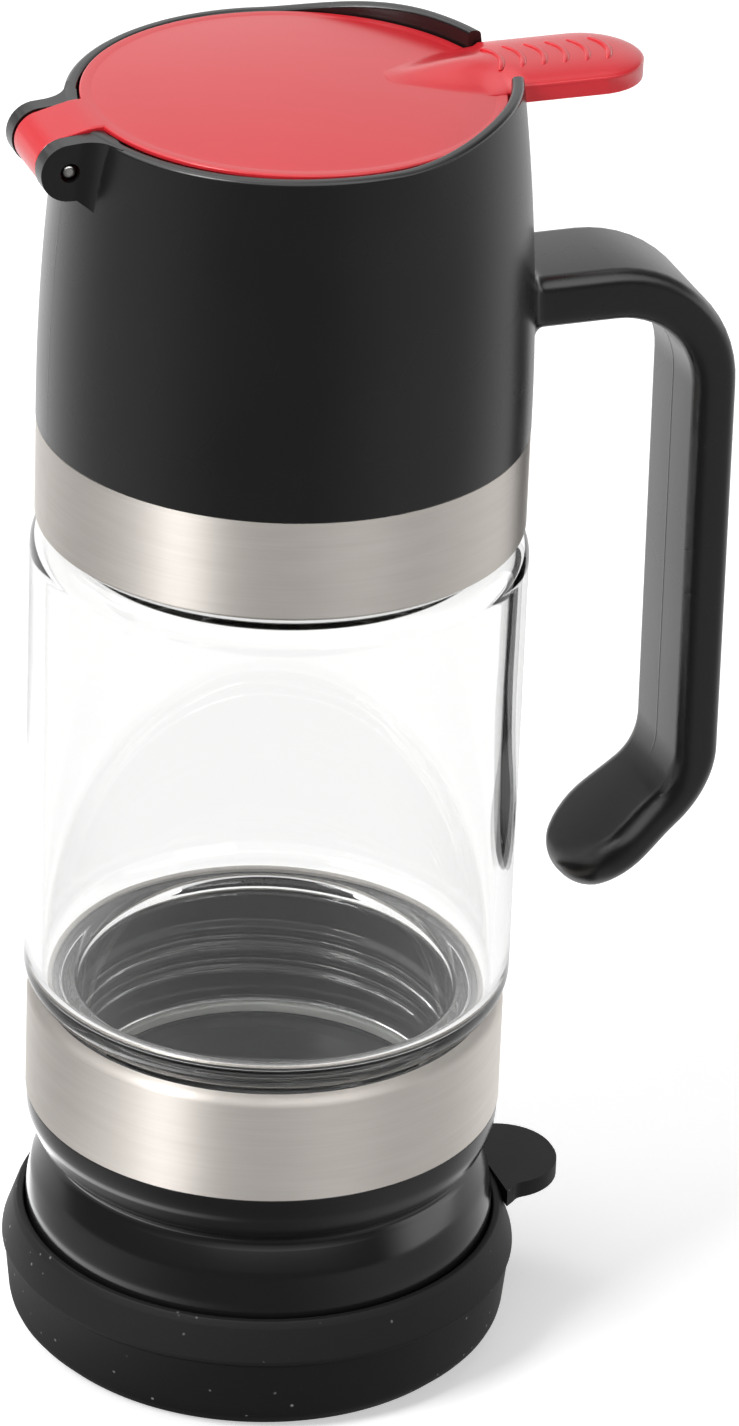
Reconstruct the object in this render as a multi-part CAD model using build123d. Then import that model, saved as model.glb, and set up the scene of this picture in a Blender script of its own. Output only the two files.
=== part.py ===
"""Syrup dispenser that pours from its base when the thumb lever lifts the airtight lid.

Millimetres. +Z is up, the handle points along +X and the lid hinge lies on the -X side.
The origin is the centre of the face that the dispenser rests on.
"""
from build123d import *
import os
from math import atan2, cos, pi, radians, sin, sqrt, tan

# ---------------------------------------------------------------- fits and clearances
soft_gap = 0.30            # silicone to a piece that it moves against
thread_gap = 0.30          # between mating threads, on the radius
slip_fit = 0.10            # between glued or snapped pieces, on the radius
pin_running_fit = 0.05     # hinge pin in the lid barrel, on the radius
barrel_side_gap = 0.30     # lid barrel to each ear
lever_notch_gap = 0.35     # thumb lever to each side of the lip notch
root_sink = 0.60           # how far a feature reaches into the wall that carries it

# ---------------------------------------------------------------- silicone base cap
cap_floor = 3.0
cap_height = 18.9
cap_rim_wall = 1.0
cap_bulge = 2.15           # the widest line stands this far outside the rim
cap_mould_line = 12.8      # height of the widest line
cap_waist_step = 0.25      # the lower wall starts this much inside the mould line
cap_lower_step = 1.25      # the foot of the lower wall lies this far inside the widest line
cap_lower_height = 3.2
cap_lower_round = 3.0
cap_foot_step = 3.3        # the flat foot ends this far inside the lower wall
cap_foot_round = 2.0
cap_rim_chamfer = 1.0
cap_plug_radius = 4.2
tab_width = 17.8
tab_length = 10.8          # from the rim of the cap to the end of the pull tab
tab_thickness = 2.6
tab_above_rim = 0.7
tab_edge = 0.9
tab_flare = 2.0

# ---------------------------------------------------------------- black base
bulge_inset = 0.3          # the bulge lies this far inside the steel band
waist_depth = 3.5          # and the waist this far
bulge_drop = 8.0           # from the waist down to where the bulge is upright
bulge_sweep = 10.0         # rounding radius of the bulge
waist_height = 26.8        # above the bottom of the skirt
waist_round = 2.0
flange_height = 8.9        # from the waist up to the steel band
flange_inset = 0.05        # the flange lies this far inside the steel band
flange_draft = 1.05        # how far the flange leans in towards the waist
flange_low_height = 2.3    # above the waist
flange_round = 0.9
flange_edge = 0.3
skirt_wall = 2.2
skirt_inner_sweep = 6.0    # rounding radius inside the bulge
cup_wall = 3.1             # outside the nut thread, under the steel band
cup_edge = 0.4
cup_seat_height = 32.0     # gasket seat above the bottom of the skirt
cup_height = 19.4          # from the gasket seat to the top of the cup
funnel_step = 2.8          # from the seat of the gasket in to the funnel
funnel_depth = 6.0
funnel_round = 2.0
funnel_land = 0.8          # the funnel ends this far below the gasket seat
base_floor = 2.6
nozzle_radius = 9.4
nozzle_draft = 0.4
nozzle_root = 2.0          # rounding and drop where the nozzle leaves the floor
nozzle_bore = 5.2
nozzle_bottom = 8.0        # above the bottom of the skirt

# ---------------------------------------------------------------- outlet valve
valve_radius = 7.2
valve_flange = 1.6
valve_skin = 0.9
valve_dome = 1.6           # depth of the hanging dome
valve_slit = 0.4
slit_length = 6.0
retainer_height = 4.0
retainer_bore = 5.2
nozzle_pocket_depth = 6.4

# ---------------------------------------------------------------- glass bottle
neck_radius = 30.0
neck_wall = 2.4
shoulder_width = 5.65      # how far the body stands outside the neck
glass_wall = 2.6
glass_body_height = 74.4
lower_neck_length = 19.8
upper_neck_length = 19.3
shoulder_flat = 0.65       # flat part of the shoulder, next to the neck
shoulder_rise = 1.0        # the shoulder slopes this much towards the neck
inner_round = 3.6
neck_blend = 1.6
rim_round = 0.8

# ---------------------------------------------------------------- threads
thread_pitch = 4.0
thread_depth = 1.1
thread_root_width = 1.9
thread_crest_width = 0.9
thread_turns = 1.75
thread_from_rim = 5.0      # centre of the first turn, from the rim of the neck

# ---------------------------------------------------------------- gaskets
gasket_thickness = 1.5
gasket_overlap = 0.5       # how far the seat under a gasket reaches into the bore of the neck

# ---------------------------------------------------------------- steel bands
band_sheet = 0.4
upper_band_height = 15.0
lower_band_height = 16.5
lower_band_lip = 2.1       # inward roll at the top of the lower band
upper_band_lip = 1.4       # inward turn at the bottom of the upper band
lip_round = 1.2

# ---------------------------------------------------------------- collar shell
collar_gap = 1.1           # from the glass shoulder to the upper band
collar_proud = 0.05        # the collar stands this far outside the upper band
collar_height = 64.5       # from the bottom of the skirt to the low part of the lip
taper_start = 17.6         # height above the skirt bottom where the lean starts
lip_rise = 2.6             # how far the lip rises beside the lever
lip_dip = 0.45             # how far the lip falls at the hinge
lip_wall = 1.72            # wall at the top of the lip
lip_straight = 12.0        # depth of the straight inner wall below the lip
lip_dip_reach = 30.0       # where the lip is lowest, towards the hinge
lip_low_from = -12.0
lip_low_to = 5.0
lip_high_from = 27.0

# ---------------------------------------------------------------- inner sleeve
sleeve_wall = 1.8
sleeve_skirt_wall = 1.6    # outside the nut thread
sleeve_collar_wall = 2.35  # at the top, where the sleeve meets the collar
sleeve_web = 2.0
sleeve_collar_height = 5.0
sleeve_below_lip = 4.9
seal_lead_in = 1.2

# ---------------------------------------------------------------- hinge
pin_radius = 1.05
pin_outside = 4.85         # from the inner wall of the lip out to the pin
pin_below_lip = 5.1
ear_radius = 4.15
ear_thickness = 2.8
barrel_width = 10.2
barrel_radius = 4.0
pin_recess = 0.35          # the pin ends sit this far inside the ear faces
ear_root_round = 4.0
ear_flare = 4.4            # the root spreads this far along the wall, past each ear
gusset_drop = 6.6          # from the pin to the foot of the gusset
gusset_inset = 4.2         # from the pin towards the axis at the foot of the gusset
slot_below_pin = 4.5

# ---------------------------------------------------------------- lid
lid_edge_gap = 0.35        # lid disc to the inner wall of the lip
lid_above_lip = 0.05
lid_thickness = 1.8
lid_dome = 0.8             # the middle of the disc stands this far above its rim
lid_dome_flat = 13.0       # radius of the middle, before the dome falls away
lid_dome_sweep = 300.0     # rounding radius of the dome
lid_dome_share = 0.8       # the rounding takes no more than this share of the flat or the slope
lid_groove_inset = 2.9     # shallow groove between the dome and the rim, from the edge
lid_groove = 0.15
lid_rim_inset = 1.2
lid_edge = 0.3
lid_undercut = 1.2
flap_overhang = 1.3        # the hinge flap stays level this far past the edge of the disc
flap_root = 3.2            # and starts this far inside it
lid_boss_wall = 1.6
lid_boss_depth = 4.0

# ---------------------------------------------------------------- thumb lever
lever_width = 16.6
lever_reach = 21.6         # from the edge of the disc to the tip
lever_thickness = 2.6
lever_crown = 1.25
lever_above_lid = 0.75     # side edge of the lever above the rim of the lid
lever_edge = 0.8
ridge_start = 14.0
ridge_start_width = 9.0
ridge_start_crown = 0.35   # the narrow end just reaches the surface of the dome
ridge_full = 28.0
rib_count = 6
rib_first = 23.6           # centre of the first arc
rib_pitch = 3.2
rib_radius = 6.5
rib_width = 1.1
rib_height = 0.35
rib_half_angle = 38.0

# ---------------------------------------------------------------- lid plug and seal
plug_gap = 1.0             # to the bore of the inner sleeve, bridged by the seal
plug_wall = 2.1
plug_depth = 8.6
plug_plate = 1.4
seal_height = 1.7
seal_groove_depth = 1.0
seal_from_bottom = 1.1

# ---------------------------------------------------------------- handle
grip_width = 18.5
grip_gap = 24.85           # from the collar to the inner face of the grip, near its foot
grip_thickness = 6.6
grip_lean = 0.7            # the grip stands this much nearer the axis at its top
arm_top = 35.3             # above the bottom of the collar skirt
arm_thickness = 7.8
top_outer_bend = 20.0
top_inner_bend = 12.5
foot_outer_bend = 16.0
foot_inner_bend = 9.3
foot_corner = 51.0         # the outer foot corner below the bottom of the collar skirt
tongue_angle = 41.0
tongue_length = 24.6       # along the outer face, from the foot corner to the tip
grip_edge = 2.2


# ---------------------------------------------------------------- levels, from the bottom up
skirt_bottom = cap_floor
waist_z = skirt_bottom + waist_height
lower_band_z = waist_z + flange_height
lower_band_top = lower_band_z + lower_band_height
gasket_seat_z = skirt_bottom + cup_seat_height
cup_top = gasket_seat_z + cup_height
glass_bottom = gasket_seat_z + gasket_thickness
body_bottom = glass_bottom + lower_neck_length
body_top = body_bottom + glass_body_height
glass_top = body_top + upper_neck_length
upper_band_z = body_top + collar_gap
upper_band_top = upper_band_z + upper_band_height
collar_bottom = upper_band_z + band_sheet
sleeve_seat_z = glass_top + gasket_thickness
lip_z = collar_bottom + collar_height - band_sheet
lip_top_z = lip_z + lip_rise
taper_z = collar_bottom + taper_start
sleeve_top_z = lip_z - sleeve_below_lip
pin_z = lip_z - pin_below_lip
lid_top_z = lip_z + lid_above_lip
lid_under_z = lid_top_z - lid_thickness
lid_crown_z = lid_top_z + lid_dome
tab_top = cap_height + tab_above_rim

# ---------------------------------------------------------------- sizes that follow from fits
neck_bore = neck_radius - neck_wall
glass_radius = neck_radius + shoulder_width
shoulder_round = shoulder_width - shoulder_flat
thread_bore = neck_radius + thread_depth + thread_gap
under_band = thread_bore + cup_wall
band_radius = under_band + slip_fit + band_sheet
flange_radius = band_radius - flange_inset
flange_low_radius = flange_radius - flange_draft
bulge_radius = band_radius - bulge_inset
waist_radius = band_radius - waist_depth
seat_bore = neck_bore - gasket_overlap
funnel_radius = seat_bore - funnel_step
cap_bore = bulge_radius + soft_gap
cap_rim_radius = cap_bore + cap_rim_wall
cap_radius = cap_rim_radius + cap_bulge
cap_lower_radius = cap_radius - cap_lower_step
cap_foot_radius = cap_lower_radius - cap_foot_step
tab_reach = cap_rim_radius + tab_length
skirt_inner_radius = thread_bore + sleeve_skirt_wall + slip_fit
sleeve_bore = neck_bore
lip_wall_radius = sleeve_bore + sleeve_collar_wall + slip_fit
collar_radius = band_radius + collar_proud
collar_taper = collar_radius - lip_wall_radius - lip_wall
grip_inner = collar_radius + grip_gap
grip_outer = grip_inner + grip_thickness
pin_x = -lip_wall_radius - pin_outside
lid_radius = lip_wall_radius - lid_edge_gap
lever_end = lid_radius + lever_reach
plug_radius = sleeve_bore - plug_gap
lid_boss_radius = plug_radius - plug_wall - slip_fit
seal_radius = sleeve_bore - soft_gap
ear_half = barrel_width / 2 + barrel_side_gap + ear_thickness
slot_half = barrel_width / 2 + barrel_side_gap
lever_side_z = lid_top_z + lever_above_lid
lever_under_z = lever_side_z - lever_thickness
notch_half = lever_width / 2 + lever_notch_gap
valve_seat_z = skirt_bottom + nozzle_bottom + nozzle_pocket_depth


def turned(*corners):
    """Solid of revolution about Z. A corner is (radius, height) or (radius, height, rounding)."""
    points = [(corner[0], corner[1]) for corner in corners]
    rounding = [corner[2] if len(corner) > 2 else 0 for corner in corners]
    outline = FilletPolyline(*points, radius=rounding, close=True)
    return revolve(Plane.XZ * make_face(outline), Axis.Z)


def side_plate(outline, half_width):
    """Outline in the XZ plane, made half_width thick on each side of it."""
    return extrude(Plane.XZ * make_face(outline), amount=half_width, both=True)


def disc(radius, bottom, top):
    """Cylinder on the Z axis."""
    return Pos(0, 0, (bottom + top) / 2) * Cylinder(radius, top - bottom)


def cross_rod(radius, length):
    """Cylinder along Y at the hinge pin."""
    return Pos(pin_x, 0, pin_z) * Rot(90, 0, 0) * Cylinder(radius, length)


def thread(wall_radius, inward, first_turn_z):
    """Helical ridge that stands on a wall, outward as on a neck or inward as in a nut."""
    side = -1 if inward else 1
    root = wall_radius - side * root_sink / 2
    path = Helix(thread_pitch, thread_pitch * thread_turns, root)
    start = Plane(origin=path @ 0, x_dir=(side, 0, 0), z_dir=path % 0)
    reach = thread_depth + root_sink / 2
    ridge = make_face(Polyline(
        (0, -thread_root_width / 2), (reach, -thread_crest_width / 2),
        (reach, thread_crest_width / 2), (0, thread_root_width / 2), close=True))
    return Pos(0, 0, first_turn_z) * sweep(start * ridge, path=path, is_frenet=True)


# ---------------------------------------------------------------- base cap
def make_base_cap():
    wall = turned(
        (0, 0), (cap_foot_radius, 0, cap_foot_round),
        (cap_lower_radius, cap_lower_height, cap_lower_round),
        (cap_radius - cap_waist_step, cap_mould_line - 2 * cap_waist_step),
        (cap_radius, cap_mould_line, 0.2),
        (cap_rim_radius + cap_rim_chamfer / 2, cap_height - cap_rim_chamfer, 0.6),
        (cap_rim_radius, cap_height, 0.3), (cap_bore, cap_height, 0.3),
        (cap_bore, cap_floor), (0, cap_floor))
    half = tab_width / 2
    root = cap_bore + root_sink
    outline = FilletPolyline(
        (root, -half - tab_flare), (cap_rim_radius + tab_edge, -half - tab_flare / 2),
        (cap_rim_radius + tab_flare, -half), (tab_reach, -half), (tab_reach, half),
        (cap_rim_radius + tab_flare, half), (cap_rim_radius + tab_edge, half + tab_flare / 2),
        (root, half + tab_flare),
        radius=[0, tab_flare, tab_flare, half - tab_edge, half - tab_edge, tab_flare, tab_flare, 0],
        close=True)
    tab = Pos(0, 0, tab_top - tab_thickness) * extrude(make_face(outline), amount=tab_thickness)
    tab = fillet(tab.edges().filter_by_position(Axis.X, cap_radius, tab_reach + 1), tab_edge)
    plug_top = valve_seat_z - valve_flange - valve_dome - soft_gap
    plug = disc(cap_plug_radius, cap_floor - root_sink, plug_top)
    plug = chamfer(plug.edges().sort_by(Axis.Z)[-1], cap_plug_radius / 4)
    return wall + tab + plug


# ---------------------------------------------------------------- base
def make_base():
    skirt_inner = bulge_radius - skirt_wall
    waist_inner = waist_radius - skirt_wall
    floor_under = gasket_seat_z - funnel_depth - base_floor
    pocket = valve_radius + slip_fit
    nozzle_z = skirt_bottom + nozzle_bottom
    bulge_z = waist_z - bulge_drop
    body = turned(
        (nozzle_bore, gasket_seat_z - funnel_depth, funnel_round / 2),
        (funnel_radius, gasket_seat_z - funnel_land, funnel_round),
        (seat_bore, gasket_seat_z - funnel_land / 2), (seat_bore, gasket_seat_z),
        (thread_bore, gasket_seat_z), (thread_bore, cup_top, cup_edge), (under_band, cup_top, cup_edge),
        (under_band, lower_band_z), (flange_radius, lower_band_z, flange_edge),
        (flange_low_radius, waist_z + flange_low_height, flange_round),
        (waist_radius, waist_z, waist_round), (bulge_radius, bulge_z, bulge_sweep),
        (bulge_radius, skirt_bottom, cup_edge), (skirt_inner, skirt_bottom, cup_edge),
        (skirt_inner, bulge_z - cup_edge, skirt_inner_sweep),
        (waist_inner, floor_under + cup_edge, nozzle_root),
        (nozzle_radius, floor_under - nozzle_root, nozzle_root),
        (nozzle_radius - nozzle_draft, nozzle_z, cup_edge),
        (pocket, nozzle_z), (pocket, valve_seat_z), (nozzle_bore, valve_seat_z))
    screw = thread(thread_bore, True, glass_bottom + thread_from_rim + thread_pitch / 2)
    return body + screw


def make_drip_valve():
    shell = turned(
        (0, valve_seat_z - valve_flange - valve_dome + valve_skin),
        (valve_dome, valve_seat_z - valve_flange - valve_dome + valve_skin, 1.0),
        (retainer_bore - valve_skin - soft_gap, valve_seat_z), (valve_radius, valve_seat_z, 0.2),
        (valve_radius, valve_seat_z - valve_flange, 0.2),
        (retainer_bore - soft_gap, valve_seat_z - valve_flange, 0.2),
        (valve_dome + valve_skin, valve_seat_z - valve_flange - valve_dome, 1.2),
        (0, valve_seat_z - valve_flange - valve_dome))
    slit = Pos(0, 0, valve_seat_z - valve_flange - valve_dome) * Box(slit_length, valve_slit, 4 * valve_skin)
    return shell - slit - Rot(0, 0, 90) * slit


def make_valve_retainer():
    top = valve_seat_z - valve_flange
    return turned(
        (retainer_bore, top), (valve_radius, top, 0.3), (valve_radius, top - retainer_height, 0.3),
        (retainer_bore + 0.5, top - retainer_height), (retainer_bore, top - retainer_height + 0.5))


# ---------------------------------------------------------------- bottle and gaskets
def make_glass_bottle():
    inner = glass_radius - glass_wall
    low_in = body_bottom + glass_wall
    top_in = body_top - glass_wall
    body = turned(
        (neck_bore, glass_bottom, rim_round), (neck_radius, glass_bottom, rim_round),
        (neck_radius, body_bottom - shoulder_rise, neck_blend),
        (glass_radius, body_bottom, shoulder_round), (glass_radius, body_top, shoulder_round),
        (neck_radius, body_top + shoulder_rise, neck_blend),
        (neck_radius, glass_top, rim_round), (neck_bore, glass_top, rim_round),
        (neck_bore, top_in + shoulder_rise, neck_blend), (inner, top_in, inner_round),
        (inner, low_in, inner_round), (neck_bore, low_in - shoulder_rise, neck_blend))
    lower_screw = thread(neck_radius, False, glass_bottom + thread_from_rim)
    upper_first = glass_top - thread_from_rim - thread_pitch * thread_turns
    return body + lower_screw + thread(neck_radius, False, upper_first)


def make_gasket(bottom):
    return turned(
        (neck_bore - gasket_overlap / 2, bottom, 0.3), (neck_radius, bottom, 0.3),
        (neck_radius, bottom + gasket_thickness, 0.3),
        (neck_bore - gasket_overlap / 2, bottom + gasket_thickness, 0.3))


# ---------------------------------------------------------------- steel bands
def make_upper_band():
    inside = band_radius - band_sheet
    lip = band_radius - upper_band_lip
    return turned(
        (band_radius, upper_band_z, lip_round / 2), (band_radius, upper_band_top),
        (inside, upper_band_top), (inside, collar_bottom), (lip, collar_bottom), (lip, upper_band_z))


def make_lower_band():
    inside = band_radius - band_sheet
    lip = band_radius - lower_band_lip
    return turned(
        (band_radius, lower_band_z), (band_radius, lower_band_top, lip_round), (lip, lower_band_top),
        (lip, lower_band_top - band_sheet), (inside, lower_band_top - band_sheet, lip_round - band_sheet),
        (inside, lower_band_z))


# ---------------------------------------------------------------- collar shell and handle
def collar_wall(z):
    """Outer radius of the collar, upright at first and leaning in towards the lip."""
    lean = max(z - taper_z, 0) / (lip_top_z - taper_z)
    return collar_radius - collar_taper * lean ** 2


def make_collar_tube():
    bend_mid = (taper_z + lip_top_z) / 2
    outline = [
        Line((skirt_inner_radius, collar_bottom), (under_band, collar_bottom)),
        Line((under_band, collar_bottom), (under_band, upper_band_top)),
        Line((under_band, upper_band_top), (collar_radius, upper_band_top)),
        Line((collar_radius, upper_band_top), (collar_radius, taper_z)),
        ThreePointArc((collar_radius, taper_z), (collar_wall(bend_mid), bend_mid),
                      (collar_wall(lip_top_z), lip_top_z)),
        Line((collar_wall(lip_top_z), lip_top_z), (lip_wall_radius, lip_top_z)),
        Line((lip_wall_radius, lip_top_z), (lip_wall_radius, lip_z - lip_straight)),
        Line((lip_wall_radius, lip_z - lip_straight), (skirt_inner_radius, upper_band_top)),
        Line((skirt_inner_radius, upper_band_top), (skirt_inner_radius, collar_bottom))]
    return revolve(Plane.XZ * make_face(outline), Axis.Z)


def make_lip_cutter():
    """Everything above the lip line, which dips at the hinge and rises beside the lever."""
    reach = collar_radius + ear_radius
    above = lip_top_z + lip_rise
    lip_line = Spline(
        (-lip_dip_reach, lip_z - lip_dip), (lip_low_from, lip_z - lip_dip / 3),
        (lip_low_to, lip_z + lip_rise / 40), ((lip_low_to + lip_high_from) / 2, lip_z + lip_rise / 2),
        (lip_high_from, lip_top_z), tangents=[(1, 0), (1, 0)])
    start = (-reach - 2, lip_z - lip_dip)
    end = (reach + 2, lip_top_z)
    outline = [
        Line(start, lip_line @ 0), lip_line, Line(lip_line @ 1, end), Line(end, (end[0], above)),
        Line((end[0], above), (start[0], above)), Line((start[0], above), start)]
    return side_plate(outline, reach)


def ear_plan(z):
    """Both ears seen from above, flaring into the collar wall as it is at a height z."""
    wall = collar_wall(z)
    wide = ear_half + ear_flare
    meet = -sqrt(wall ** 2 - ear_half ** 2)
    flare_x = -sqrt(wall ** 2 - wide ** 2) + root_sink
    front = pin_x - 2 * ear_radius
    deep = flare_x + root_sink
    outline = FilletPolyline(
        (front, -ear_half), (meet, -ear_half), (flare_x, -wide), (deep, -wide),
        (deep, wide), (flare_x, wide), (meet, ear_half), (front, ear_half),
        radius=[0, ear_root_round, 0, 0, 0, 0, ear_root_round, 0], close=True)
    return Pos(0, 0, z) * make_face(outline)


def make_ears():
    """Block with a round end at the pin and a sloping gusset, before the barrel slot is cut."""
    inside = -lip_wall_radius + 2 * root_sink
    low = pin_z - gusset_drop
    side = side_plate(Polyline(
        (pin_x, pin_z + ear_radius), (inside, lip_z - lip_dip), (inside, low),
        (pin_x + gusset_inset, low), (pin_x + 1, pin_z - ear_radius), (pin_x, pin_z - ear_radius),
        close=True), 2 * ear_half)
    block = side & loft([ear_plan(low - root_sink), ear_plan(lip_z + root_sink)])
    return block + cross_rod(ear_radius, 2 * ear_half)


def make_barrel_slot():
    """Room for the lid barrel and its web, open to the top and to the outside."""
    outer = collar_radius + 2 * ear_radius
    depth = outer - lip_wall_radius + root_sink
    slot = Pos(-outer + depth / 2, 0, pin_z - slot_below_pin + collar_height / 2)
    return slot * Box(depth, 2 * slot_half, collar_height)


def make_handle():
    top = collar_bottom + arm_top
    foot = collar_bottom - foot_corner
    run = (cos(radians(tongue_angle)), sin(radians(tongue_angle)))
    thick = grip_outer - grip_inner
    tip = (grip_outer - tongue_length * run[0], foot - tongue_length * run[1])
    past = (tip[0] - root_sink * run[0], tip[1] - root_sink * run[1])
    past_inner = (past[0] - thick * run[1], past[1] + thick * run[0])
    inner_foot = foot + thick * (1 - run[1]) / run[0]
    root = collar_wall(top) - 2 * root_sink
    outline = FilletPolyline(
        (root, top), (grip_outer - grip_lean, top), (grip_outer, foot), past, past_inner,
        (grip_inner, inner_foot), (grip_inner - grip_lean, top - arm_thickness),
        (root, top - arm_thickness),
        radius=[0, top_outer_bend, foot_outer_bend, 0, 0, foot_inner_bend, top_inner_bend, 0],
        close=True)
    bar = side_plate(outline, grip_width / 2)
    # the tongue ends in a half circle, seen square to its face
    half = grip_width / 2
    square = Plane(origin=(tip[0], 0, tip[1]), x_dir=(run[0], 0, run[1]), z_dir=(-run[1], 0, run[0]))
    end = Pos(-half, 0) * Rectangle(2 * half, 2 * grip_width, align=(Align.MIN, Align.CENTER))
    end = end - Pos(half, 0) * Circle(half)
    bar = bar - extrude(square * end, amount=2 * thick, both=True)
    return fillet(bar.edges().filter_by_position(Axis.X, root + 1, grip_outer + 1), grip_edge)


def make_collar():
    tube = make_collar_tube() + make_ears()
    tube = tube - disc(lip_wall_radius, lip_z - lip_straight, lip_top_z + ear_radius)
    tube = tube - make_lip_cutter() - make_barrel_slot()
    notch = Pos(collar_radius, 0, lever_under_z - lever_notch_gap + collar_radius)
    tube = tube - notch * Box(2 * (collar_radius - lip_low_to), 2 * notch_half, 2 * collar_radius)
    tube = tube - cross_rod(pin_radius, 2 * ear_half + 1)
    return tube + make_handle()


def make_inner_sleeve():
    outer = skirt_inner_radius - slip_fit
    web_top = sleeve_seat_z + sleeve_web
    tube = sleeve_bore + sleeve_wall
    slope = (skirt_inner_radius - lip_wall_radius) / (lip_z - lip_straight - upper_band_top)
    shoulder = outer - slope * (web_top - upper_band_top)
    top_collar = lip_wall_radius - slip_fit
    body = turned(
        (thread_bore, collar_bottom, 0.3), (outer, collar_bottom), (outer, upper_band_top),
        (shoulder, web_top, 0.5), (tube, web_top, 1.0),
        (tube, sleeve_top_z - sleeve_collar_height - 1), (top_collar, sleeve_top_z - sleeve_collar_height),
        (top_collar, sleeve_top_z, 0.3), (sleeve_bore + seal_lead_in, sleeve_top_z, 0.2),
        (sleeve_bore, sleeve_top_z - seal_lead_in, 0.3), (sleeve_bore, sleeve_seat_z),
        (thread_bore, sleeve_seat_z))
    first_turn = glass_top - thread_from_rim - thread_pitch * (thread_turns + 1 / 2)
    return body + thread(thread_bore, True, first_turn)


# ---------------------------------------------------------------- lid, plug, seal and pin
def crowned_section(x, width, under, side, crown):
    """Cross-section at a distance x from the axis: flat below, crowned above."""
    half = width / 2
    outline = [
        Line((-half, under), (half, under)), Line((half, under), (half, side)),
        ThreePointArc((half, side), (0, side + crown), (-half, side)),
        Line((-half, side), (-half, under))]
    return Plane(origin=(x, 0, 0), x_dir=(0, 1, 0), z_dir=(1, 0, 0)) * make_face(outline)


def make_lever():
    half = lever_width / 2
    length = lever_end - ridge_full
    plan = Pos(ridge_full, 0) * Rectangle(length - half, lever_width, align=(Align.MIN, Align.CENTER))
    plan = plan + Pos(lever_end - half, 0) * Circle(half)
    plan = extrude(Pos(0, 0, lever_under_z - 1) * plan, amount=4 * lever_thickness)
    section = crowned_section(ridge_full, lever_width, lever_under_z, lever_side_z, lever_crown)
    bar = extrude(section, amount=length) & plan
    bar = fillet(bar.edges().filter_by_position(Axis.X, ridge_full + 1, lever_end + 1), lever_edge)
    ridge = loft([
        crowned_section(ridge_start, ridge_start_width, lid_under_z, lid_top_z, ridge_start_crown),
        crowned_section(ridge_full, lever_width, lid_under_z, lever_side_z, lever_crown)])
    return bar + ridge


def make_ribs():
    """Crescent ribs that bulge towards the tip and follow the crown."""
    section = crowned_section(
        ridge_full, lever_width, lever_under_z, lever_side_z + rib_height, lever_crown)
    raised = extrude(section, amount=lever_end - ridge_full)
    ribs = Part()
    for index in range(rib_count):
        centre = rib_first + index * rib_pitch
        ring = Circle(rib_radius) - Pos(-rib_width, 0) * Circle(rib_radius)
        window = Pos(rib_radius, 0) * Rectangle(
            2 * rib_radius * (1 - cos(radians(rib_half_angle))), 2 * rib_radius)
        crescent = extrude(Pos(centre, 0, lever_side_z) * (ring & window), amount=2 * lever_crown)
        ribs = ribs + (crescent & raised)
    return ribs


def make_lid():
    boss_low = lid_under_z - lid_boss_depth
    slope_run = lid_radius - lid_groove_inset - lid_dome_flat
    slope = atan2(lid_dome + lid_groove, slope_run)
    sweep_limit = lid_dome_share * min(lid_dome_flat, slope_run) / tan(slope / 2)
    plate = turned(
        (0, lid_under_z), (lid_boss_radius - lid_boss_wall, lid_under_z, 0.4),
        (lid_boss_radius - lid_boss_wall, boss_low, 0.3), (lid_boss_radius, boss_low, 0.3),
        (lid_boss_radius, lid_under_z), (lid_radius - lid_undercut, lid_under_z),
        (lid_radius, lid_under_z + lid_undercut), (lid_radius, lid_top_z, lid_edge),
        (lid_radius - lid_rim_inset, lid_top_z, 2 * lid_edge),
        (lid_radius - lid_groove_inset, lid_top_z - lid_groove, lid_rim_inset),
        (lid_dome_flat, lid_crown_z, min(lid_dome_sweep, sweep_limit)), (0, lid_crown_z))
    barrel = cross_rod(barrel_radius, barrel_width)
    # the flap is level with the rim of the disc and then falls away onto the barrel
    root = -lid_radius + flap_root
    web = side_plate(Polyline(
        (pin_x, pin_z + barrel_radius), (-lid_radius - flap_overhang, lid_top_z), (root, lid_top_z),
        (root, lid_under_z), (-lid_radius + lid_undercut, lid_under_z),
        (pin_x + barrel_radius, pin_z), (pin_x, pin_z), close=True), barrel_width / 2)
    lid = plate + barrel + web + make_lever() + make_ribs()
    return lid - cross_rod(pin_radius + pin_running_fit, barrel_width + 1)


def make_lid_plug():
    low = lid_under_z - plug_depth
    groove_low = low + seal_from_bottom
    groove = plug_radius - seal_groove_depth
    inside = plug_radius - plug_wall
    return turned(
        (0, low), (plug_radius - 0.6, low, 0.5), (plug_radius, low + 0.7, 0.3), (plug_radius, groove_low),
        (groove, groove_low), (groove, groove_low + seal_height), (plug_radius, groove_low + seal_height),
        (plug_radius, lid_under_z), (inside, lid_under_z), (inside, low + plug_plate), (0, low + plug_plate))


def make_lid_seal():
    low = lid_under_z - plug_depth + seal_from_bottom
    groove = plug_radius - seal_groove_depth
    return turned(
        (groove, low), (plug_radius, low, 0.2), (seal_radius, low + seal_height / 2, 0.4),
        (plug_radius, low + seal_height, 0.2), (groove, low + seal_height))


def make_hinge_pin():
    pin = cross_rod(pin_radius, 2 * (ear_half - pin_recess))
    return fillet(pin.edges().filter_by(GeomType.CIRCLE), pin_radius * 0.6)


pieces = {
    "base_cap": make_base_cap(),
    "base": make_base(),
    "drip_valve": make_drip_valve(),
    "valve_retainer": make_valve_retainer(),
    "lower_gasket": make_gasket(gasket_seat_z),
    "lower_band": make_lower_band(),
    "glass_bottle": make_glass_bottle(),
    "upper_gasket": make_gasket(glass_top),
    "upper_band": make_upper_band(),
    "inner_sleeve": make_inner_sleeve(),
    "collar": make_collar(),
    "hinge_pin": make_hinge_pin(),
    "lid": make_lid(),
    "lid_plug": make_lid_plug(),
    "lid_seal": make_lid_seal(),
}

os.makedirs("parts", exist_ok=True)
for name, shape in pieces.items():
    export_step(shape, f"parts/{name}.step")
    print(f"{name}: {len(shape.solids())} solid, {shape.volume / 1000:.2f} ml")
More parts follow.
